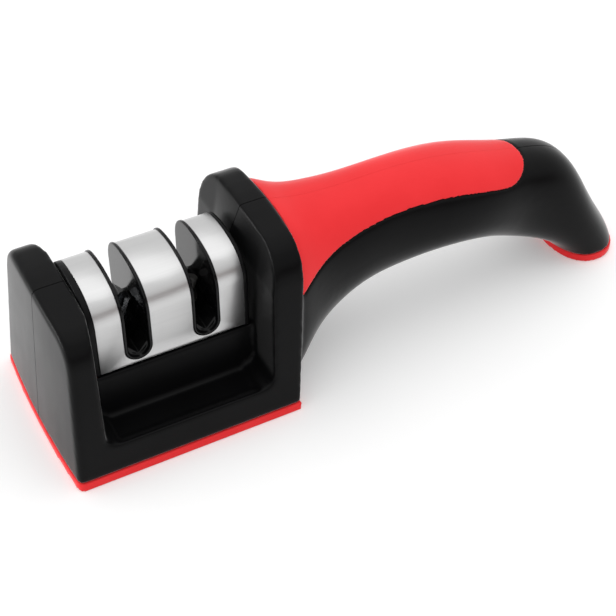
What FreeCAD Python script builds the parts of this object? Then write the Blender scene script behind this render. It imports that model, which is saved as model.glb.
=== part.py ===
import FreeCAD, Part
import math
import os

# Hand-held two-stage knife sharpener: a black body in two half shells with a
# long arched handle, and a steel-clad sharpening head that lifts out of it.
# Millimetres, +Z up, X along the handle, -Y the front. The origin is under the
# middle of the whole object, on the surface it stands on. Stations along X are
# measured from the left end and turned into X by along(). The soft pads reach
# pad_overhang past the black parts all round.

# Whole object
overall_length = 203.7
body_half_width = 31.0
side_draft = 6.0
block_crown = 6.0
wall = 2.2
clearance = 0.3

# Left end block
left_top = 52.0
left_shoulder = 10.0
left_lean = 5.0
left_bow = 1.4
left_end_round = 2.0
left_inner_front = 11.2
left_inner_head = 14.6

# Right end block
right_top = 58.6
right_shoulder = 13.0
right_inner = 64.9
right_lean_z = 45.0
right_lean = 1.6
right_middle_lean_z = 49.5
right_middle_lean = 0.1
right_inner_top = 69.0
junction_low = 72.6
junction_high = 77.4

# Ledges in front of and behind the head
ledge_z = 12.4
scoop_low_z = 11.0
scoop_draft = 8.0
scoop_radius = 1.0
ledge_width = 1.4
ledge_rise = 3.3
bridge_left = 8.0
bridge_right = 72.0
bridge_top = 25.0
corner_radius = 4.0

# Pocket that the head stands in
pocket_half = 14.8
pocket_floor = 9.0
foot_pocket_half = 12.4

# Sharpening head
head_half = 14.4
head_top = 52.8
head_shoulder = 9.4
head_crown = 15.0
head_left = 14.9
head_right = 64.0
steel_left = 16.9
steel_right = 62.6
steel_low = 25.9
steel_gauge = 0.6
core_wall = 1.8
foot_top = 25.4
foot_bottom = 9.4
head_plate_depth = 3.0
head_plate_sink = 0.1
head_post_radius = 2.8

# Knife slots
slot_centres = (29.0, 50.4)
slot_half = 4.3
slot_low = 27.1
lip_width = 0.9
lip_proud = 0.35
liner_gap = 0.1
liner_v_low = 28.6
liner_v_high = 32.7
liner_v_half = 13.4
liner_window_top = 33.6

# Sharpening pieces
blade_lean = 20.0
blade_width = 2.0
blade_depth = 3.0
blade_below = 11.0
blade_above = 5.6
blade_cross_z = 35.5
rod_radius = 1.6
rod_below = 12.0
rod_above = 4.6
rod_cross_z = 35.0
pair_gap = 0.1
holder_half_x = 8.0
holder_half_y = 7.0
holder_low = 13.4
holder_high = 29.0
holder_screw_offset = 5.6

# Pads, screws and bosses
pad_top = 2.4
pad_overhang = 0.15
foot_pad_thickness = 2.6
plate_thickness = 1.8
plate_gap = 0.15
stem_left = 187.5
stem_right = 196.1
stem_half = 8.0
stem_height = 4.2
screw_radius = 1.25
pilot_radius = 1.27
screw_clearance = 1.5
screw_head_radius = 2.6
screw_head_height = 1.6
well_gap = 0.3
boss_radius = 3.4
boss_height = 13.0
side_boss_half = 14.0
side_screw_head_y = 5.0
side_screw_length = 10.8
bottom_screw_length = 10.0
head_screw_length = 9.0
holder_screw_length = 7.0
grip_thickness = 1.4
grip_tip_z = 39.8
grip_groove = 0.5

# Handle
handle_wall = 3.0
rib_stations = (90.0, 122.0, 166.0)
rib_thickness = 1.6

V = FreeCAD.Vector
tiny = 0.01
big = 300.0


def along(station):
    """X of a station measured from the left end."""
    return station - overall_length / 2


def box(x0, x1, y0, y1, z0, z1):
    return Part.makeBox(x1 - x0, y1 - y0, z1 - z0, V(x0, y0, z0))


def cylinder(base, axis, radius, length):
    return Part.makeCylinder(radius, length, base, axis)


def polygon_prism(points, direction):
    """Solid swept along direction from a closed outline of straight sides."""
    wire = Part.makePolygon(points + [points[0]])
    return Part.Face(wire).extrude(direction)


def fused(shapes):
    whole = shapes[0]
    for shape in shapes[1:]:
        whole = whole.fuse(shape)
    return whole


def cut_all(shape, tools):
    for tool in tools:
        shape = shape.cut(tool)
    return shape


def mirrored_y(shape):
    return shape.mirror(V(0, 0, 0), V(0, 1, 0))


def save(shape, name):
    if len(shape.Solids) == 1:
        shape = shape.Solids[0]
    if not shape.isValid():
        print("not valid:", name)
    shape.exportStep("parts/" + name + ".step")
    box_of = shape.BoundBox
    print("%-22s solids %2d  volume %8.0f  x %7.1f %7.1f  y %6.1f %6.1f  z %6.1f %6.1f" % (
        name, len(shape.Solids), shape.Volume, box_of.XMin, box_of.XMax,
        box_of.YMin, box_of.YMax, box_of.ZMin, box_of.ZMax))


# Domed outline shared by the end blocks and the head

def dome_face(x, half, low_z, top_z, shoulder, crown, draft):
    """Face in the plane X = x: drafted sides, round shoulders, shallow crown.

    half is the half width at Z = 0, crown and draft are angles in degrees."""
    c = math.radians(crown)
    d = math.radians(draft)
    k = math.tan(c / 2)
    t = math.tan(d)
    reach = top_z - shoulder * (math.cos(c) + k * math.sin(c) - math.sin(d))
    centre_y = (half - shoulder * math.cos(d) - t * reach) / (1 - k * t)
    centre_z = top_z - shoulder * math.cos(c) - (centre_y + shoulder * math.sin(c)) * k
    middle = (d + math.pi / 2 - c) / 2

    def at(angle):
        return V(x, centre_y + shoulder * math.cos(angle), centre_z + shoulder * math.sin(angle))

    low = V(x, half - low_z * t, low_z)
    side = at(d)
    bend = at(middle)
    edge = at(math.pi / 2 - c)
    top = V(x, 0, top_z)

    def flip(point):
        return V(point.x, -point.y, point.z)

    edges = [
        Part.makeLine(flip(low), low),
        Part.makeLine(low, side),
        Part.Arc(side, bend, edge).toShape(),
        Part.Arc(edge, top, flip(edge)).toShape(),
        Part.Arc(flip(edge), flip(bend), flip(side)).toShape(),
        Part.makeLine(flip(side), flip(low)),
    ]
    return Part.Face(Part.Wire(edges))


def dome_prism(x0, x1, half, low_z, top_z, shoulder, crown, draft):
    face = dome_face(x0, half, low_z, top_z, shoulder, crown, draft)
    return face.extrude(V(x1 - x0, 0, 0))


# Outside and inside of the body

def end_cutter(inset):
    """Bowed, leaning left end: everything to the right of it."""
    radius = (body_half_width ** 2 + left_bow ** 2) / (2 * left_bow)
    lean = math.radians(left_lean)
    axis = V(math.sin(lean), 0, math.cos(lean))
    base = V(along(0) + radius / math.cos(lean), 0, 0) - axis * 100
    return cylinder(base, axis, radius - inset, 240)


def junction_side(inset):
    """Everything to the left of the leaning plane where the neck begins."""
    low = along(junction_low) - inset
    rise = (junction_high - junction_low) / right_top
    points = [
        V(-big, -60, -20),
        V(low - 20 * rise, -60, -20),
        V(low + 100 * rise, -60, 100),
        V(-big, -60, 100),
    ]
    return polygon_prism(points, V(0, 120, 0))


def blocks(inset, low_z):
    """Two end blocks and the bridge between them, before the scoops are cut."""
    left = dome_prism(
        along(-5), along(left_inner_head + 1), body_half_width - inset, low_z,
        left_top - inset, left_shoulder - inset, block_crown, side_draft)
    right = dome_prism(
        along(right_inner - 1), along(junction_high + 5), body_half_width - inset, low_z,
        right_top - inset, right_shoulder - inset, block_crown, side_draft)
    bridge = dome_prism(
        along(bridge_left), along(bridge_right), body_half_width - inset, low_z,
        right_top, right_shoulder, block_crown, side_draft)
    bridge = bridge.common(box(along(bridge_left), along(bridge_right), -40, 40, low_z, bridge_top))
    right = right.common(junction_side(inset))
    left = left.common(end_cutter(inset))
    if inset < left_end_round:
        end_edges = [
            edge for edge in left.Edges
            if edge.BoundBox.XMax < along(left_inner_front - 2) and edge.BoundBox.ZMax > low_z + 1]
        left = left.makeFillet(left_end_round - inset, end_edges)
    return fused([left, bridge, right])


def opening_prism(grow):
    """Front-view outline of the space between the end blocks, swept through."""
    low_z = scoop_low_z - grow
    rim_z = ledge_z - grow
    step = rim_z - low_z
    left = along(left_inner_front) - grow
    right = along(right_inner) + grow
    r = corner_radius + grow
    turn = r * (1 - math.cos(math.pi / 4))
    high = right_top + 10
    points = {
        "left_top": V(left + 0.6, -40, high),
        "left_low": V(left, -40, rim_z + r),
        "left_turn": V(left + turn, -40, rim_z + turn),
        "rim_left": V(left + r, -40, rim_z),
        "low_left": V(left + r + step, -40, low_z),
        "low_right": V(right - r - step, -40, low_z),
        "rim_right": V(right - r, -40, rim_z),
        "right_turn": V(right - turn, -40, rim_z + turn),
        "right_low": V(right, -40, rim_z + r),
        "right_bend": V(right + right_lean, -40, right_lean_z),
        "right_top": V(along(right_inner_top) + grow, -40, right_top + 0.4),
        "right_high": V(along(right_inner_top) + grow + 4, -40, high),
    }
    p = points
    edges = [
        Part.makeLine(p["left_top"], p["left_low"]),
        Part.Arc(p["left_low"], p["left_turn"], p["rim_left"]).toShape(),
        Part.makeLine(p["rim_left"], p["low_left"]),
        Part.makeLine(p["low_left"], p["low_right"]),
        Part.makeLine(p["low_right"], p["rim_right"]),
        Part.Arc(p["rim_right"], p["right_turn"], p["right_low"]).toShape(),
        Part.makeLine(p["right_low"], p["right_bend"]),
        Part.makeLine(p["right_bend"], p["right_top"]),
        Part.makeLine(p["right_top"], p["right_high"]),
        Part.makeLine(p["right_high"], p["left_top"]),
    ]
    return Part.Face(Part.Wire(edges)).extrude(V(0, 80, 0))


def front_space(grow):
    """Side-view outline of the space in front of the head, swept along X."""
    slope = math.radians(scoop_draft)
    near = -pocket_half + grow / math.cos(slope)
    low_z = scoop_low_z - grow
    ledge = ledge_z - grow
    high = right_top + 10
    corner_y = near - (bridge_top - low_z) * math.tan(slope)
    r = scoop_radius + grow
    reach = r * math.tan((math.pi / 2 - slope) / 2)
    centre_y = corner_y - reach
    centre_z = low_z + r
    away = math.hypot(reach, r)
    start = V(along(0), near, high)
    bend = V(along(0), near, bridge_top)
    wall_low = V(along(0), corner_y + reach * math.sin(slope), low_z + reach * math.cos(slope))
    arc_mid = V(along(0), centre_y + r * reach / away, centre_z - r * r / away)
    arc_end = V(along(0), centre_y, low_z)
    ledge_in = V(along(0), -body_half_width + ledge_width + ledge_rise, low_z)
    ledge_out = V(along(0), -body_half_width + ledge_width, ledge)
    outside = V(along(0), -45, ledge)
    outside_high = V(along(0), -45, high)
    edges = [
        Part.makeLine(start, bend),
        Part.makeLine(bend, wall_low),
        Part.Arc(wall_low, arc_mid, arc_end).toShape(),
        Part.makeLine(arc_end, ledge_in),
        Part.makeLine(ledge_in, ledge_out),
        Part.makeLine(ledge_out, outside),
        Part.makeLine(outside, outside_high),
        Part.makeLine(outside_high, start),
    ]
    return Part.Face(Part.Wire(edges)).extrude(V(90, 0, 0))


def plan_taper(grow):
    """Top-view outline: the left wall opens outwards from the head."""
    points = [
        V(along(left_inner_head) - grow, -pocket_half + grow + tiny, -20),
        V(along(left_inner_front) - grow, -body_half_width, -20),
        V(along(left_inner_front) - grow - 1, -45, -20),
        V(along(90), -45, -20),
        V(along(90), -pocket_half + grow + tiny, -20),
    ]
    return polygon_prism(points, V(0, 0, 120))


def scoops(grow):
    """Finger recesses in front of and behind the head."""
    front = opening_prism(grow).common(front_space(grow))
    front = front.common(plan_taper(grow))
    return front.fuse(mirrored_y(front))


def room_outline(y, lean, lean_z, grow):
    """Front-view outline of the head's room, with the right wall's bend."""
    left = along(left_inner_head) - grow
    right = along(right_inner) + grow
    top = along(right_inner_top) + grow
    low_z = bridge_top - tiny - grow
    points = [
        V(left, y, low_z),
        V(right, y, low_z),
        V(right + lean, y, lean_z),
        V(top, y, right_top + 0.4),
        V(top + 4, y, right_top + 10),
        V(left, y, right_top + 10),
    ]
    return Part.makePolygon(points + [points[0]])


def head_space(grow):
    """Room between the blocks for the head, and the pocket for its foot."""
    middle = room_outline(0, right_middle_lean, right_middle_lean_z, grow)
    outer = room_outline(-pocket_half - grow, right_lean, right_lean_z, grow)
    half = Part.makeLoft([middle, outer], True, True)
    room = half.fuse(mirrored_y(half))
    pocket = box(
        along(left_inner_head) - grow, along(right_inner) + grow,
        -foot_pocket_half - grow, foot_pocket_half + grow, pocket_floor - grow, bridge_top + 1)
    return room.fuse(pocket)


# Handle, lofted through sections across its centre line

handle_stations = (
    # station, height, tilt of the section's up direction, half width, half height,
    # squareness above, squareness below, taper
    (71.0, 30.2, -4.9, 27.0, 27.2, 3.1, 4.5, 0.10),
    (76.0, 31.8, -4.5, 26.0, 25.8, 2.9, 4.2, 0.10),
    (88.1, 34.1, 2.3, 19.6, 21.2, 2.4, 2.6, 0.04),
    (96.7, 35.8, 6.0, 17.0, 18.9, 2.3, 2.5, 0.00),
    (105.5, 36.8, 6.0, 15.8, 17.5, 2.3, 2.3, 0.00),
    (122.9, 37.8, 0.0, 15.6, 16.3, 2.3, 2.3, 0.00),
    (140.3, 36.8, -9.3, 16.8, 14.7, 2.3, 2.3, 0.00),
    (157.4, 32.2, -16.6, 15.0, 14.8, 2.3, 2.3, 0.00),
    (169.3, 28.2, -30.3, 14.3, 16.1, 2.3, 2.3, 0.00),
    (180.3, 20.1, -39.4, 15.3, 13.3, 2.3, 2.3, 0.00),
    (188.3, 10.1, -58.5, 16.0, 10.2, 2.3, 2.3, 0.00),
    (192.9, foot_pad_thickness, -90.0, 16.2, 10.8, 2.3, 2.3, 0.00),
)
section_points = 36


def handle_section(station, inset):
    """Closed smooth outline: a rounded oval, squarer near the block."""
    x, z, tilt, half_w, half_h, square_up, square_down, taper = station
    angle = math.radians(tilt)
    up = V(-math.sin(angle), 0, math.cos(angle))
    points = []
    for i in range(section_points):
        turn = 2 * math.pi * i / section_points
        c = math.cos(turn)
        s = math.sin(turn)
        power = 2 / (square_up if s >= 0 else square_down)
        across = math.copysign(abs(c) ** power, c)
        height = math.copysign(abs(s) ** power, s)
        y = (half_w - inset) * across * (1 - taper * height)
        rise = (half_h - inset) * height
        points.append(V(along(x), y, z) + up * rise)
    curve = Part.BSplineCurve()
    curve.interpolate(Points=points, PeriodicFlag=True)
    return Part.Wire(curve.toShape())


def handle_loft(inset):
    sections = [handle_section(station, inset) for station in handle_stations]
    return Part.makeLoft(sections, True, False)


# Soft grip let into the top of the handle

grip_border = (
    # station, height
    (80.4, 41.3),
    (86.9, 43.1),
    (93.6, 44.7),
    (100.1, 45.9),
    (107.7, 46.8),
    (114.8, 47.4),
    (124.4, 47.5),
    (134.1, 46.9),
    (144.7, 44.9),
    (150.6, 43.4),
    (155.9, 42.3),
    (160.7, 42.9),
    (163.8, 44.3),
    (165.3, 45.2),
    (166.1, 46.2),
    (166.6, 50.0),
)


def grip_region():
    """Side-view outline of the soft grip, swept through the handle."""
    low = along(junction_low) + grip_groove
    rise = (junction_high - junction_low) / right_top
    start = V(low + grip_tip_z * rise, -45, grip_tip_z)
    top = V(low + 75 * rise, -45, 75)
    far = V(along(166), -45, 75)
    border = [start] + [V(along(station), -45, z) for station, z in grip_border]
    curve = Part.BSplineCurve()
    curve.interpolate(Points=border)
    edges = [
        curve.toShape(),
        Part.makeLine(border[-1], far),
        Part.makeLine(far, top),
        Part.makeLine(top, start),
    ]
    return Part.Face(Part.Wire(edges)).extrude(V(0, 90, 0))


# Screw positions

bottom_screw_places = [
    (along(8.0), -18.0),
    (along(8.0), 18.0),
    (along(68.0), -21.0),
    (along(68.0), 21.0),
]
side_screw_places = [
    (along(86.0), 48.4),
    (along(98.5), 49.2),
]
head_screw_places = [
    (along(18.6), -8.4),
    (along(18.6), 8.4),
    (along(60.3), -8.4),
    (along(60.3), 8.4),
]


def pan_screw(crest, direction, length):
    """Pan-head screw; crest is the centre of the top of its head."""
    head = cylinder(V(0, 0, 0), V(0, 0, 1), screw_head_radius, screw_head_height)
    ends = sorted(head.Edges, key=lambda edge: edge.BoundBox.ZMax)
    head = head.makeFillet(0.5, [ends[0]])
    shank = cylinder(V(0, 0, screw_head_height), V(0, 0, 1), screw_radius, length)
    arm = 1.4
    half = 0.35
    depth = 0.9
    cross = box(-arm, arm, -half, half, -1, depth)
    cross = cross.fuse(box(-half, half, -arm, arm, -1, depth))
    screw = head.fuse(shank).cut(cross)
    screw.Placement = FreeCAD.Placement(crest, FreeCAD.Rotation(V(0, 0, 1), direction))
    return screw


def base_boss(x, y):
    return cylinder(V(x, y, pad_top + plate_thickness), V(0, 0, 1), boss_radius, boss_height)


def side_boss(x, z):
    return cylinder(V(x, -side_boss_half, z), V(0, 1, 0), boss_radius, 2 * side_boss_half)


# Half shells

def body_shell():
    """Whole black body before it is split into its two halves."""
    outer_handle = handle_loft(0)
    inner_handle = handle_loft(handle_wall)
    outer = blocks(0, pad_top).fuse(outer_handle)
    cavity = blocks(wall, pad_top - tiny)
    cavity = cavity.cut(scoops(wall)).cut(head_space(wall))
    inner_handle = inner_handle.common(
        box(along(junction_low - 4), along(250), -50, 50, foot_pad_thickness + wall, 80))
    posts = [base_boss(x, y) for x, y in bottom_screw_places]
    posts += [side_boss(x, z) for x, z in side_screw_places]
    ribs = []
    for station in rib_stations:
        ribs.append(box(along(station), along(station) + rib_thickness, -40, 40, 0, 80))
    shell = outer.cut(cavity)
    shell = shell.cut(cut_all(inner_handle, ribs + posts))
    for post in posts:
        inside = post.common(cavity)
        if inside.Volume > 1:
            shell = shell.fuse(inside)
    shell = shell.cut(scoops(0)).cut(head_space(0))
    for x, y in bottom_screw_places:
        shell = shell.cut(cylinder(V(x, y, 0), V(0, 0, 1), pilot_radius, pad_top + boss_height))
    return shell


def bottom_opening():
    """Seat of the bottom plate, inside the body's lower edge."""
    seat = blocks(wall, pad_top - 1)
    return seat.common(box(-big, big, -50, 50, 0, pad_top + plate_thickness))


def make_bottom_plate():
    plate = blocks(wall + plate_gap, pad_top)
    plate = plate.common(box(-big, big, -50, 50, pad_top, pad_top + plate_thickness))
    for x, y in bottom_screw_places:
        plate = plate.cut(cylinder(V(x, y, 0), V(0, 0, 1), screw_clearance, 10))
    return plate


def make_base_pad():
    """Soft pad under the whole base; its rim is the red line round the foot."""
    pad = blocks(-pad_overhang, 0)
    pad = pad.common(box(-big, big, -50, 50, 0, pad_top))
    for x, y in bottom_screw_places:
        low = pad_top - screw_head_height - tiny
        pad = pad.cut(cylinder(V(x, y, low), V(0, 0, 1), screw_head_radius + well_gap, 10))
    return pad


def make_tail_foot():
    """Soft foot under the tail with a stem that plugs into the handle."""
    outline = handle_section(handle_stations[-1], -pad_overhang)
    pad = Part.Face(outline).extrude(V(0, 0, -foot_pad_thickness))
    stem = box(
        along(stem_left), along(stem_right), -stem_half, stem_half,
        foot_pad_thickness - tiny, foot_pad_thickness + stem_height)
    return pad.fuse(stem)


def tail_socket():
    return box(
        along(stem_left) - plate_gap, along(stem_right) + plate_gap,
        -stem_half - plate_gap, stem_half + plate_gap,
        foot_pad_thickness - 1, foot_pad_thickness + stem_height + 1)


def split(shape, front):
    if front:
        return shape.common(box(-big, big, -80, -0.02, -20, 120))
    return shape.common(box(-big, big, 0.02, 80, -20, 120))


def side_screw_cut(x, z, front):
    if front:
        tip = side_screw_head_y - screw_head_height - side_screw_length - well_gap
        return cylinder(V(x, tip, z), V(0, 1, 0), pilot_radius, side_screw_length)
    seat = side_screw_head_y - screw_head_height
    shank = cylinder(V(x, -1, z), V(0, 1, 0), screw_clearance, seat + 2)
    well = cylinder(V(x, seat, z), V(0, 1, 0), screw_head_radius + well_gap, 30)
    return shank.fuse(well)


# Sharpening head

def slot_prism(centre, half, low_z, half_depth, high):
    """Round-bottomed slot that runs right through from front to rear."""
    x = along(centre)
    left = V(x - half, -half_depth, low_z + half)
    right = V(x + half, -half_depth, low_z + half)
    low = V(x, -half_depth, low_z)
    high_left = V(x - half, -half_depth, high)
    high_right = V(x + half, -half_depth, high)
    edges = [
        Part.makeLine(high_left, left),
        Part.Arc(left, low, right).toShape(),
        Part.makeLine(right, high_right),
        Part.makeLine(high_right, high_left),
    ]
    return Part.Face(Part.Wire(edges)).extrude(V(0, 2 * half_depth, 0))


def head_prism(x0, x1, inset, low_z):
    return dome_prism(
        along(x0), along(x1), head_half - inset, low_z,
        head_top - inset, head_shoulder - inset, head_crown, 0)


def make_steel_cover():
    cover = head_prism(steel_left, steel_right, 0, steel_low)
    cover = cover.cut(head_prism(steel_left - 1, steel_right + 1, steel_gauge, 0))
    for centre in slot_centres:
        cover = cover.cut(slot_prism(centre, slot_half, slot_low, 20, 60))
    return cover


def make_head_core():
    """Black moulded core: hollow, open underneath, rims flush with the steel."""
    gap = 0.05
    outer = head_prism(head_left, head_right, steel_gauge + gap, steel_low - 0.5)
    rims = [
        head_prism(head_left, steel_left - gap, 0, steel_low - 0.5),
        head_prism(steel_right + gap, head_right, 0, steel_low - 0.5),
    ]
    foot = box(
        along(head_left), along(head_right), -foot_pocket_half + clearance,
        foot_pocket_half - clearance, foot_bottom + head_plate_depth, steel_low)
    inside = head_prism(
        head_left + core_wall, head_right - core_wall, steel_gauge + core_wall, foot_top)
    foot_inside = box(
        along(head_left) + core_wall, along(head_right) - core_wall,
        -foot_pocket_half + clearance + core_wall, foot_pocket_half - clearance - core_wall,
        0, steel_low + 1)
    posts = []
    for x, y in head_screw_places:
        post_low = V(x, y, foot_bottom + head_plate_depth)
        posts.append(cylinder(post_low, V(0, 0, 1), head_post_radius, 20))
    core = fused([outer] + rims + [foot])
    core = core.cut(cut_all(inside.fuse(foot_inside), posts))
    for x, y in head_screw_places:
        core = core.cut(cylinder(V(x, y, 0), V(0, 0, 1), pilot_radius, 24))
    for centre in slot_centres:
        seat = slot_prism(centre, slot_half - 0.05, slot_low + 0.05, 20, 60)
        core = core.cut(seat)
    return core


def make_liner(centre):
    """Slot lining with a lip that stands proud of the steel and a V floor."""
    outer = slot_prism(centre, slot_half - liner_gap, slot_low + liner_gap, 20, 60)
    shape = dome_prism(
        along(centre - 6), along(centre + 6), head_half + lip_proud, slot_low,
        head_top + lip_proud, head_shoulder + lip_proud, head_crown, 0)
    x = along(centre)
    inner_half = slot_half - liner_gap - lip_width
    channel = slot_prism(centre, inner_half, slot_low + liner_gap + lip_width, 20, 60)
    vee = polygon_prism([
        V(x, -30, liner_v_low),
        V(x + inner_half, -30, liner_v_high),
        V(x + inner_half, -30, 70),
        V(x - inner_half, -30, 70),
        V(x - inner_half, -30, liner_v_high),
    ], V(0, 60, 0))
    floor = box(x - inner_half, x + inner_half, -liner_v_half, liner_v_half, 0, 40).cut(vee)
    channel = channel.cut(floor)
    window_half = holder_half_y + clearance
    window = box(x - slot_half, x + slot_half, -window_half, window_half, 0, liner_window_top)
    return outer.common(shape).cut(channel).cut(window)


def leaning(shape, centre, cross_z, angle):
    """Turn a shape modelled upright at the origin about the slot's crossing."""
    shape = shape.copy()
    shape.rotate(V(0, 0, 0), V(0, 1, 0), angle)
    shape.translate(V(along(centre), 0, cross_z))
    return shape


def make_blade(front):
    """Ground plate with bevelled long edges."""
    y0 = -blade_depth - pair_gap if front else pair_gap
    plate = box(
        -blade_width / 2, blade_width / 2, y0, y0 + blade_depth,
        -blade_below, blade_above)
    long_edges = [edge for edge in plate.Edges if edge.BoundBox.ZLength > 5]
    plate = plate.makeChamfer(0.3, long_edges)
    lean = blade_lean if front else -blade_lean
    return leaning(plate, slot_centres[0], blade_cross_z, lean)


def make_rod(front):
    y = rod_radius + pair_gap
    if front:
        y = -y
    rod = cylinder(V(0, y, -rod_below), V(0, 0, 1), rod_radius, rod_below + rod_above)
    rims = [edge for edge in rod.Edges if edge.BoundBox.ZLength < 1]
    rod = rod.makeFillet(0.4, rims)
    lean = blade_lean if front else -blade_lean
    return leaning(rod, slot_centres[1], rod_cross_z, lean)


def make_holder(centre, pieces):
    """Block under the slot with a close slanted socket for each piece."""
    x = along(centre)
    body = box(
        x - holder_half_x, x + holder_half_x, -holder_half_y, holder_half_y, holder_low, holder_high)
    rounded = [edge for edge in body.Edges if edge.BoundBox.ZLength > 5]
    body = body.makeFillet(1.2, rounded)
    notch = polygon_prism([
        V(x, -20, holder_high - 5),
        V(x + 5, -20, holder_high + 1),
        V(x - 5, -20, holder_high + 1),
    ], V(0, 40, 0))
    body = body.cut(notch)
    for piece in pieces:
        body = body.cut(piece)
    for side in (-1, 1):
        hole = V(x + side * holder_screw_offset, 0, 0)
        body = body.cut(cylinder(hole, V(0, 0, 1), pilot_radius, holder_low + holder_screw_length))
    return body


def make_head_plate():
    """Plate that closes the head from below and carries both holders."""
    top = foot_bottom + head_plate_depth
    plate = box(
        along(head_left), along(head_right), -foot_pocket_half + clearance,
        foot_pocket_half - clearance, foot_bottom, top)
    corners = [edge for edge in plate.Edges if edge.BoundBox.ZLength > 1]
    plate = plate.makeFillet(1.0, corners)
    for centre in slot_centres:
        x = along(centre)
        tray = box(
            x - holder_half_x, x + holder_half_x, -holder_half_y, holder_half_y, top - tiny, holder_low)
        plate = plate.fuse(tray)
    seat = foot_bottom + head_plate_sink + screw_head_height
    for x, y in list(head_screw_places) + holder_screw_places():
        plate = plate.cut(cylinder(V(x, y, 0), V(0, 0, 1), screw_clearance, 40))
        plate = plate.cut(cylinder(V(x, y, 0), V(0, 0, 1), screw_head_radius + well_gap, seat))
    return plate


def holder_screw_places():
    places = []
    for centre in slot_centres:
        places.append((along(centre) - holder_screw_offset, 0))
        places.append((along(centre) + holder_screw_offset, 0))
    return places


def make_plate_screws(places, length):
    screws = []
    for x, y in places:
        crest = V(x, y, foot_bottom + head_plate_sink)
        screws.append(pan_screw(crest, V(0, 0, 1), length))
    return Part.makeCompound(screws)


def build():
    os.makedirs("parts", exist_ok=True)

    whole = body_shell().cut(bottom_opening()).cut(tail_socket())
    ring = handle_loft(0).cut(handle_loft(grip_thickness)).common(grip_region())
    whole = whole.cut(ring)
    for front, shell_name, grip_name in (
            (True, "front_shell", "front_grip"), (False, "rear_shell", "rear_grip")):
        shell = split(whole, front)
        for x, z in side_screw_places:
            shell = shell.cut(side_screw_cut(x, z, front))
        save(shell, shell_name)
        save(split(ring, front), grip_name)

    save(make_bottom_plate(), "bottom_plate")
    save(make_base_pad(), "base_pad")
    save(make_tail_foot(), "tail_foot")
    bottom_screws = []
    for x, y in bottom_screw_places:
        crest = V(x, y, pad_top - screw_head_height)
        bottom_screws.append(pan_screw(crest, V(0, 0, 1), bottom_screw_length))
    save(Part.makeCompound(bottom_screws), "bottom_screws")
    side_screws = []
    for x, z in side_screw_places:
        crest = V(x, side_screw_head_y, z)
        side_screws.append(pan_screw(crest, V(0, -1, 0), side_screw_length))
    save(Part.makeCompound(side_screws), "side_screws")

    save(make_steel_cover(), "steel_cover")
    save(make_head_core(), "head_core")
    save(make_liner(slot_centres[0]), "coarse_slot_liner")
    save(make_liner(slot_centres[1]), "fine_slot_liner")
    blades = [make_blade(True), make_blade(False)]
    rods = [make_rod(True), make_rod(False)]
    save(blades[0], "carbide_blade_front")
    save(blades[1], "carbide_blade_rear")
    save(rods[0], "ceramic_rod_front")
    save(rods[1], "ceramic_rod_rear")
    save(make_holder(slot_centres[0], blades), "blade_holder")
    save(make_holder(slot_centres[1], rods), "rod_holder")
    save(make_head_plate(), "head_plate")
    save(make_plate_screws(head_screw_places, head_screw_length), "head_plate_screws")
    save(make_plate_screws(holder_screw_places(), holder_screw_length), "holder_screws")


build()
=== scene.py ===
import bpy
import bmesh
import math
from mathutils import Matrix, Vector


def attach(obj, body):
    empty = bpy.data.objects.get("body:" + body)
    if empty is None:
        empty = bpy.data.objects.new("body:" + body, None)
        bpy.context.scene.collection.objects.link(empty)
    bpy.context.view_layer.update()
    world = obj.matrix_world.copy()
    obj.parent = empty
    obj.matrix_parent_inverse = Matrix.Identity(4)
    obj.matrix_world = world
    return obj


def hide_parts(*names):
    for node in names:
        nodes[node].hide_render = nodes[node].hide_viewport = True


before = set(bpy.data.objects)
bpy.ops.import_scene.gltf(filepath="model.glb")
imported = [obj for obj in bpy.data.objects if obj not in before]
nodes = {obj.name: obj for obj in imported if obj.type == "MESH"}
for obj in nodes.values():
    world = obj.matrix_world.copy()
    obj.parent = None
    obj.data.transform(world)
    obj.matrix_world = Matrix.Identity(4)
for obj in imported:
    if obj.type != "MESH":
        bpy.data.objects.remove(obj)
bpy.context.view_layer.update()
scene = bpy.context.scene
mm = 0.001

# shared effects as node groups

grainNoise = {
    # noise detail and roughness
    "fine": (2.0, 0.6),
    "patch": (3.0, 0.55),
}
brushNoise = {
    # noise scale, detail and roughness
    "fine": (2.2, 4.0, 0.7),
    "broad": (0.35, 3.0, 0.6),
}
streakShare = {"fine": 0.6, "broad": 0.4}


def newGroup(name, inputs, outputs):
    group = bpy.data.node_groups.new(name, "ShaderNodeTree")
    for label, kind, value in inputs:
        socket = group.interface.new_socket(label, in_out="INPUT", socket_type=kind)
        if value is not None:
            socket.default_value = value
    for label, kind in outputs:
        group.interface.new_socket(label, in_out="OUTPUT", socket_type=kind)
    begin = group.nodes.new("NodeGroupInput")
    end = group.nodes.new("NodeGroupOutput")
    return group, begin, end


def noiseNode(tree, vector, scale, detail, roughness):
    noise = tree.nodes.new("ShaderNodeTexNoise")
    noise.inputs["Detail"].default_value = detail
    noise.inputs["Roughness"].default_value = roughness
    tree.links.new(vector, noise.inputs["Vector"])
    if isinstance(scale, (int, float)):
        noise.inputs["Scale"].default_value = scale
    else:
        tree.links.new(scale, noise.inputs["Scale"])
    return noise


def mathNode(tree, operation, first, second):
    step = tree.nodes.new("ShaderNodeMath")
    step.operation = operation
    for place, value in enumerate((first, second)):
        if isinstance(value, (int, float)):
            step.inputs[place].default_value = value
        else:
            tree.links.new(value, step.inputs[place])
    return step.outputs[0]


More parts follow.
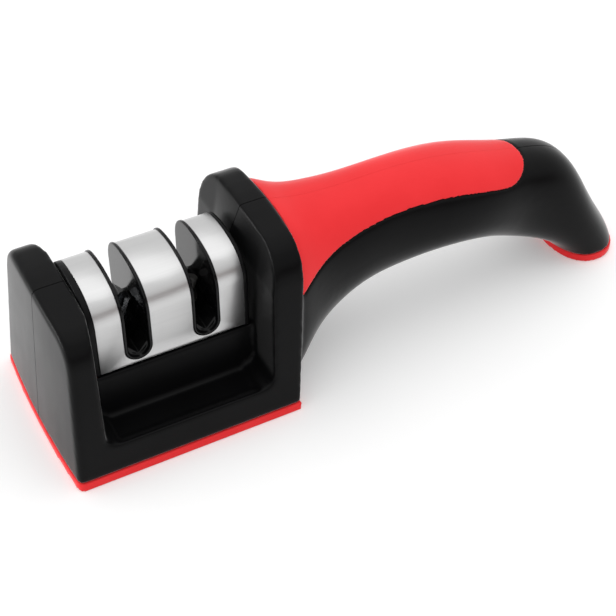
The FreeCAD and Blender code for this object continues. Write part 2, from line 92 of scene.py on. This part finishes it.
def buildMouldGrain():
    # fine spark-eroded grain with slow patches where the mould polished differently
    group, begin, end = newGroup(
        "mouldGrain",
        [("Vector", "NodeSocketVector", None), ("Grain Scale", "NodeSocketFloat", 2600.0),
         ("Patch Scale", "NodeSocketFloat", 45.0)],
        [("Height", "NodeSocketFloat"), ("Patch", "NodeSocketFloat")])
    fine = noiseNode(group, begin.outputs["Vector"], begin.outputs["Grain Scale"], *grainNoise["fine"])
    patch = noiseNode(
        group, begin.outputs["Vector"], begin.outputs["Patch Scale"], *grainNoise["patch"])
    group.links.new(fine.outputs["Fac"], end.inputs["Height"])
    group.links.new(patch.outputs["Fac"], end.inputs["Patch"])
    return group


def buildBrushLines():
    # short scratches drawn out along one direction, in two widths
    group, begin, end = newGroup(
        "brushLines",
        [("Vector", "NodeSocketVector", None),
         ("Stretch", "NodeSocketVector", (12.0, 1600.0, 1600.0))],
        [("Height", "NodeSocketFloat"), ("Streak", "NodeSocketFloat")])
    drawn = group.nodes.new("ShaderNodeVectorMath")
    drawn.operation = "MULTIPLY"
    group.links.new(begin.outputs["Vector"], drawn.inputs[0])
    group.links.new(begin.outputs["Stretch"], drawn.inputs[1])
    fine = noiseNode(group, drawn.outputs[0], *brushNoise["fine"])
    broad = noiseNode(group, drawn.outputs[0], *brushNoise["broad"])
    group.links.new(fine.outputs["Fac"], end.inputs["Height"])
    finePart = mathNode(group, "MULTIPLY", fine.outputs["Fac"], streakShare["fine"])
    broadPart = mathNode(group, "MULTIPLY", broad.outputs["Fac"], streakShare["broad"])
    group.links.new(mathNode(group, "ADD", finePart, broadPart), end.inputs["Streak"])
    return group


# stage: camera, lights, floor

cameraSetup = {
    "place": (-0.16595, -0.29599, 0.32330),
    "turn": (46.663, -0.076, -27.592),  # degrees
    "lens": 84.537,  # mm, as the sensor
    "sensor": 36.0,
    "nearest": 0.01,
}

lampSetup = {
    # name: place, aim, size, watts
    "topSoftbox": ((0.10, 0.30, 1.9), (0.0, 0.0, 0.03), (2.6, 2.2), 12.0),
    "leftSoftbox": ((-1.3, 0.55, 0.12), (-0.1, 0.0, 0.03), (0.9, 0.22), 8.0),
}

floorSetup = {
    "size": 6.0,
    "drop": 0.0002,
    "tone": 0.86,
    "cameraLift": 0.18,  # glow added for camera rays
    "glossLift": 0.26,  # glow added for mirrored rays
}
worldSetup = {
    "seen": 1.0,  # strength for camera and mirrored rays
    "ambient": 0.88,  # strength for all other rays
    "frontBand": (0.09, 0.035, 0.025),  # dim band of the room, in front of the object
    # the band's limits along the world direction's Z, and where its side begins along Y
    "bandLow": 0.04,
    "bandTop": 0.42,
    "bandEdge": 0.06,
    "sideStart": -0.2,
    "sideEnd": -0.6,
}


def aimed(place, aim):
    direction = Vector(aim) - Vector(place)
    return direction.to_track_quat("-Z", "Y").to_euler()


def mirroredRays(tree, path):
    return mathNode(tree, "MAXIMUM", path.outputs["Is Glossy Ray"], path.outputs["Is Transmission Ray"])


def buildCamera():
    camera = bpy.data.objects.new("photoCamera", bpy.data.cameras.new("photoCamera"))
    scene.collection.objects.link(camera)
    camera.location = cameraSetup["place"]
    camera.rotation_euler = [math.radians(angle) for angle in cameraSetup["turn"]]
    camera.data.lens = cameraSetup["lens"]
    camera.data.sensor_width = cameraSetup["sensor"]
    camera.data.clip_start = cameraSetup["nearest"]
    scene.camera = camera


def buildLamps():
    for name, (place, aim, size, watts) in lampSetup.items():
        light = bpy.data.lights.new(name, "AREA")
        light.shape = "RECTANGLE"
        light.size, light.size_y = size
        light.energy = watts
        lamp = bpy.data.objects.new(name, light)
        scene.collection.objects.link(lamp)
        lamp.location = place
        lamp.rotation_euler = aimed(place, aim)


def buildWorld():
    world = bpy.data.worlds.new("paleWorld")
    scene.world = world
    world.use_nodes = True
    tree = world.node_tree
    background = tree.nodes["Background"]
    path = tree.nodes.new("ShaderNodeLightPath")
    place = tree.nodes.new("ShaderNodeTexCoord")
    parts = tree.nodes.new("ShaderNodeSeparateXYZ")
    tree.links.new(place.outputs["Generated"], parts.inputs[0])
    # the room on the camera's side has a dim band just above the floor, the rest is white
    side = tree.nodes.new("ShaderNodeMapRange")
    side.interpolation_type = "SMOOTHSTEP"
    side.inputs["From Min"].default_value = worldSetup["sideStart"]
    side.inputs["From Max"].default_value = worldSetup["sideEnd"]
    tree.links.new(parts.outputs["Y"], side.inputs["Value"])
    middle = (worldSetup["bandLow"] + worldSetup["bandTop"]) / 2
    away = mathNode(tree, "ABSOLUTE", mathNode(tree, "SUBTRACT", parts.outputs["Z"], middle), 0.0)
    height = tree.nodes.new("ShaderNodeMapRange")
    height.interpolation_type = "SMOOTHSTEP"
    height.inputs["From Min"].default_value = worldSetup["bandTop"] - middle
    height.inputs["From Max"].default_value = worldSetup["bandEdge"]
    tree.links.new(away, height.inputs["Value"])
    band = mathNode(tree, "MULTIPLY", side.outputs["Result"], height.outputs["Result"])
    mirrored = mirroredRays(tree, path)
    colour = tree.nodes.new("ShaderNodeMix")
    colour.data_type = "RGBA"
    colour.inputs["A"].default_value = (1, 1, 1, 1)
    colour.inputs["B"].default_value = (*worldSetup["frontBand"], 1)
    tree.links.new(mathNode(tree, "MULTIPLY", band, mirrored), colour.inputs["Factor"])
    tree.links.new(colour.outputs["Result"], background.inputs["Color"])
    either = mathNode(tree, "MAXIMUM", mirrored, path.outputs["Is Camera Ray"])
    shown = mathNode(tree, "MULTIPLY", either, worldSetup["seen"])
    soft = mathNode(tree, "MULTIPLY", mathNode(tree, "SUBTRACT", 1.0, either), worldSetup["ambient"])
    tree.links.new(mathNode(tree, "ADD", shown, soft), background.inputs["Strength"])


def buildFloor():
    form = bmesh.new()
    bmesh.ops.create_grid(form, x_segments=1, y_segments=1, size=floorSetup["size"] / 2)
    mesh = bpy.data.meshes.new("studioFloor")
    form.to_mesh(mesh)
    form.free()
    floor = bpy.data.objects.new("studioFloor", mesh)
    scene.collection.objects.link(floor)
    floor.location.z = -floorSetup["drop"]
    paint = bpy.data.materials.new("studioFloor")
    paint.use_nodes = True
    tree = paint.node_tree
    tree.nodes.clear()
    out = tree.nodes.new("ShaderNodeOutputMaterial")
    both = tree.nodes.new("ShaderNodeAddShader")
    matt = tree.nodes.new("ShaderNodeBsdfDiffuse")
    matt.inputs["Color"].default_value = (floorSetup["tone"],) * 3 + (1,)
    glow = tree.nodes.new("ShaderNodeEmission")
    path = tree.nodes.new("ShaderNodeLightPath")
    mirrored = mathNode(tree, "MULTIPLY", mirroredRays(tree, path), floorSetup["glossLift"])
    direct = mathNode(tree, "MULTIPLY", path.outputs["Is Camera Ray"], floorSetup["cameraLift"])
    tree.links.new(mathNode(tree, "ADD", mirrored, direct), glow.inputs["Strength"])
    tree.links.new(matt.outputs[0], both.inputs[0])
    tree.links.new(glow.outputs[0], both.inputs[1])
    tree.links.new(both.outputs[0], out.inputs["Surface"])
    mesh.materials.append(paint)


def buildStage():
    buildCamera()
    buildLamps()
    buildWorld()
    buildFloor()
    scene.view_settings.view_transform = "Standard"
    print("stage ready")


mouldGrain = buildMouldGrain()
brushLines = buildBrushLines()


# materials

def startMaterial(name):
    material = bpy.data.materials.new(name)
    material.use_nodes = True
    tree = material.node_tree
    shader = tree.nodes["Principled BSDF"]
    place = tree.nodes.new("ShaderNodeTexCoord")
    return material, tree, shader, place.outputs["Object"]


def groupNode(tree, group, vector, **values):
    node = tree.nodes.new("ShaderNodeGroup")
    node.node_tree = group
    tree.links.new(vector, node.inputs["Vector"])
    for label, value in values.items():
        node.inputs[label.replace("_", " ")].default_value = value
    return node


def ranged(tree, value, low, high, fromLow=0.3, fromHigh=0.7):
    step = tree.nodes.new("ShaderNodeMapRange")
    step.inputs["From Min"].default_value = fromLow
    step.inputs["From Max"].default_value = fromHigh
    step.inputs["To Min"].default_value = low
    step.inputs["To Max"].default_value = high
    tree.links.new(value, step.inputs["Value"])
    return step.outputs["Result"]


def tinted(tree, value, low, high, fromLow=0.3, fromHigh=0.7):
    step = tree.nodes.new("ShaderNodeValToRGB")
    step.color_ramp.elements[0].position = fromLow
    step.color_ramp.elements[1].position = fromHigh
    step.color_ramp.elements[0].color = (*low, 1)
    step.color_ramp.elements[1].color = (*high, 1)
    tree.links.new(value, step.inputs["Fac"])
    return step.outputs["Color"]


def bumped(tree, shader, height, distance, strength):
    bump = tree.nodes.new("ShaderNodeBump")
    bump.inputs["Distance"].default_value = distance
    bump.inputs["Strength"].default_value = strength
    tree.links.new(height, bump.inputs["Height"])
    tree.links.new(bump.outputs["Normal"], shader.inputs["Normal"])


finishTones = {
    # base colours low and high
    "shell": ((0.0016, 0.0016, 0.0018), (0.0028, 0.0028, 0.0031)),
    "inner": ((0.0026, 0.0026, 0.0028), (0.0040, 0.0040, 0.0043)),
    "red": ((0.79, 0.020, 0.024), (0.85, 0.029, 0.034)),
}
plasticFinish = {
    # tones, roughness low and high, specular level, sheen, grain size, grain strength
    "blackShell": ("shell", (0.28, 0.36), 0.08, 0.45, 2600.0, 0.25),
    "coreBlack": ("inner", (0.30, 0.38), 0.08, 0.0, 3200.0, 0.15),
    "linerBlack": ("inner", (0.06, 0.10), 0.16, 0.0, 3600.0, 0.03),
    "redSoft": ("red", (0.50, 0.60), 0.20, 0.60, 2200.0, 0.20),
}
sheenRoughness = 0.26
brushedFinish = {
    # base colours low and high, roughness low and high, stretch of the lines, scratch strength
    "steelCover": (
        (0.53, 0.53, 0.53), (0.57, 0.57, 0.57), (0.32, 0.38), (14.0, 1500.0, 1500.0), 0.04),
    "groundCarbide": (
        (0.34, 0.35, 0.37), (0.48, 0.49, 0.51), (0.20, 0.32), (1800.0, 60.0, 1800.0), 0.25),
    "zincScrew": (
        (0.42, 0.42, 0.44), (0.58, 0.58, 0.60), (0.28, 0.40), (700.0, 700.0, 700.0), 0.15),
}
streakRange = (0.35, 0.65)
ceramicFinish = {
    "low": (0.020, 0.019, 0.018), "high": (0.040, 0.038, 0.036), "rough": (0.42, 0.55),
    "grain": 5200.0, "patch": 600.0, "depth": 0.4,
}
bumpHeight = {"plastic": 0.06, "brushed": 0.03, "ceramic": 0.05}  # mm


def plasticMaterial(name):
    tones, rough, specular, sheen, grain, depth = plasticFinish[name]
    material, tree, shader, where = startMaterial(name)
    grainNode = groupNode(tree, mouldGrain, where, Grain_Scale=grain)
    tint = tinted(tree, grainNode.outputs["Patch"], *finishTones[tones])
    tree.links.new(tint, shader.inputs["Base Color"])
    tree.links.new(ranged(tree, grainNode.outputs["Patch"], *rough), shader.inputs["Roughness"])
    shader.inputs["Specular IOR Level"].default_value = specular
    shader.inputs["Sheen Weight"].default_value = sheen
    shader.inputs["Sheen Roughness"].default_value = sheenRoughness
    bumped(tree, shader, grainNode.outputs["Height"], bumpHeight["plastic"] * mm, depth)
    return material


def brushedMaterial(name):
    low, high, rough, stretch, depth = brushedFinish[name]
    material, tree, shader, where = startMaterial(name)
    brush = groupNode(tree, brushLines, where, Stretch=stretch)
    tint = tinted(tree, brush.outputs["Streak"], low, high, *streakRange)
    tree.links.new(tint, shader.inputs["Base Color"])
    tree.links.new(ranged(tree, brush.outputs["Streak"], *rough), shader.inputs["Roughness"])
    shader.inputs["Metallic"].default_value = 1.0
    bumped(tree, shader, brush.outputs["Height"], bumpHeight["brushed"] * mm, depth)
    return material


def ceramicMaterial():
    material, tree, shader, where = startMaterial("darkCeramic")
    grain = groupNode(
        tree, mouldGrain, where, Grain_Scale=ceramicFinish["grain"], Patch_Scale=ceramicFinish["patch"])
    patch = grain.outputs["Patch"]
    tint = tinted(tree, patch, ceramicFinish["low"], ceramicFinish["high"])
    tree.links.new(tint, shader.inputs["Base Color"])
    tree.links.new(ranged(tree, patch, *ceramicFinish["rough"]), shader.inputs["Roughness"])
    bumped(tree, shader, grain.outputs["Height"], bumpHeight["ceramic"] * mm, ceramicFinish["depth"])
    return material


materials = {name: plasticMaterial(name) for name in plasticFinish}
for name in brushedFinish:
    materials[name] = brushedMaterial(name)
materials["darkCeramic"] = ceramicMaterial()
print("materials ready")


# soft-edged mouldings, made from merged copies of the CAD nodes

mergeDistance = 0.002  # mm
twinOverlap = 0.05  # mm
planeTolerance = 0.001  # mm
softenFactor = 0.5

# voxel in mm and smoothing passes; the shells' edges are rounded finely before they are made coarser
shellSteps = ((0.38, 14), (0.60, 3))

mouldings = {
    # piece: node, body, slot, material, steps, y of its parting face in mm
    "frontShell": ("front_shell", "body", "black_plastic", "blackShell", shellSteps, -0.12),
    "rearShell": ("rear_shell", "body", "black_plastic", "blackShell", shellSteps, 0.12),
    "frontGrip": ("front_grip", "body", "red_soft", "redSoft", ((0.27, 10),), -0.03),
    "rearGrip": ("rear_grip", "body", "red_soft", "redSoft", ((0.27, 10),), 0.03),
    "basePad": ("base_pad", "body", "red_soft", "redSoft", ((0.42, 3),), None),
    "tailFoot": ("tail_foot", "body", "red_soft", "redSoft", ((0.36, 4),), None),
    "headCore": ("head_core", "head", "core_plastic", "coreBlack", ((0.40, 2),), None),
    "coarseSlotLiner": ("coarse_slot_liner", "head", "liner_plastic", "linerBlack", ((0.24, 2),), None),
    "fineSlotLiner": ("fine_slot_liner", "head", "liner_plastic", "linerBlack", ((0.24, 2),), None),
}


def placed(piece, body, material, node):
    piece.data.materials.clear()
    piece.data.materials.append(materials[material])
    piece.data.shade_smooth()
    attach(piece, body)
    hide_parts(node)


def mergedCopy(name, node):
    form = bmesh.new()
    form.from_mesh(nodes[node].data)
    bmesh.ops.remove_doubles(form, verts=form.verts, dist=mergeDistance * mm)
    mesh = bpy.data.meshes.new(name)
    form.to_mesh(mesh)
    form.free()
    piece = bpy.data.objects.new(name, mesh)
    scene.collection.objects.link(piece)
    return piece


def settled(piece):
    # the modifiers' result becomes the piece's own mesh
    graph = bpy.context.evaluated_depsgraph_get()
    result = bpy.data.meshes.new_from_object(piece.evaluated_get(graph))
    piece.modifiers.clear()
    piece.data = result


def everything(form):
    return form.verts[:] + form.edges[:] + form.faces[:]


def only(parts, kind):
    return [part for part in parts if isinstance(part, kind)]


def joinTwin(piece, parting):
    # the half and its mirror image overlap a little, so that softening leaves the parting face alone
    form = bmesh.new()
    form.from_mesh(piece.data)
    shift = -math.copysign(twinOverlap * mm, parting)
    bmesh.ops.translate(form, vec=(0, shift, 0), verts=form.verts)
    twin = bmesh.ops.duplicate(form, geom=everything(form))["geom"]
    bmesh.ops.scale(form, vec=(1, -1, 1), verts=only(twin, bmesh.types.BMVert))
    bmesh.ops.reverse_faces(form, faces=only(twin, bmesh.types.BMFace))
    form.to_mesh(piece.data)
    form.free()


def cutParting(piece, parting):
    # the half on this side is kept and closed with a flat face that has sharp edges
    form = bmesh.new()
    form.from_mesh(piece.data)
    side = math.copysign(1, parting)
    bmesh.ops.bisect_plane(
        form, geom=everything(form), dist=planeTolerance * mm,
        plane_co=(0, parting * mm, 0), plane_no=(0, -side, 0), clear_outer=True)
    rim = [edge for edge in form.edges if edge.is_boundary]
    bmesh.ops.triangle_fill(form, edges=rim, use_beauty=True, normal=(0, -side, 0))
    bmesh.ops.split_edges(form, edges=rim)
    form.to_mesh(piece.data)
    form.free()


def buildMoulding(name):
    node, body, slotName, material, steps, parting = mouldings[name]
    piece = mergedCopy(name, node)
    if parting:
        joinTwin(piece, parting)
    for voxel, passes in steps:
        remesh = piece.modifiers.new("voxels", "REMESH")
        remesh.mode = "VOXEL"
        remesh.voxel_size = voxel * mm
        soften = piece.modifiers.new("soften", "SMOOTH")
        soften.factor = softenFactor
        soften.iterations = passes
        settled(piece)
    if parting:
        cutParting(piece, parting)
    placed(piece, body, material, node)
    print(name, len(piece.data.polygons), "faces")


for name in mouldings:
    buildMoulding(name)
print("mouldings ready")


# steel cover: crisp bent sheet with a small edge break

coverSetup = {
    "edge": 0.10,  # mm
    "segments": 2,
    "flat": 0.5,  # degrees, as the next two
    "sharp": 40.0,
    "smooth": 35.0,
}


def buildCover():
    piece = mergedCopy("steelCover", "steel_cover")
    form = bmesh.new()
    form.from_mesh(piece.data)
    bmesh.ops.dissolve_limit(
        form, angle_limit=math.radians(coverSetup["flat"]), verts=form.verts, edges=form.edges)
    sharp = [edge for edge in form.edges
             if edge.is_manifold and edge.calc_face_angle() > math.radians(coverSetup["sharp"])]
    bmesh.ops.bevel(
        form, geom=sharp, offset=coverSetup["edge"] * mm, offset_type="OFFSET", affect="EDGES",
        segments=coverSetup["segments"], profile=0.5, material=-1, clamp_overlap=True)
    form.to_mesh(piece.data)
    form.free()
    placed(piece, "head", "steelCover", "steel_cover")
    piece.data.set_sharp_from_angle(angle=math.radians(coverSetup["smooth"]))
    print("steelCover", len(piece.data.polygons), "faces")


buildCover()


# CAD nodes whose shape is right keep it and get a better material

keptNodes = {
    "bottom_plate": "coreBlack",
    "bottom_screws": "zincScrew",
    "side_screws": "zincScrew",
    "carbide_blade_front": "groundCarbide",
    "carbide_blade_rear": "groundCarbide",
    "ceramic_rod_front": "darkCeramic",
    "ceramic_rod_rear": "darkCeramic",
    "blade_holder": "coreBlack",
    "rod_holder": "coreBlack",
    "head_plate": "coreBlack",
    "head_plate_screws": "zincScrew",
    "holder_screws": "zincScrew",
}
for node, material in keptNodes.items():
    nodes[node].data.materials.clear()
    nodes[node].data.materials.append(materials[material])
print("kept nodes ready")

buildStage()
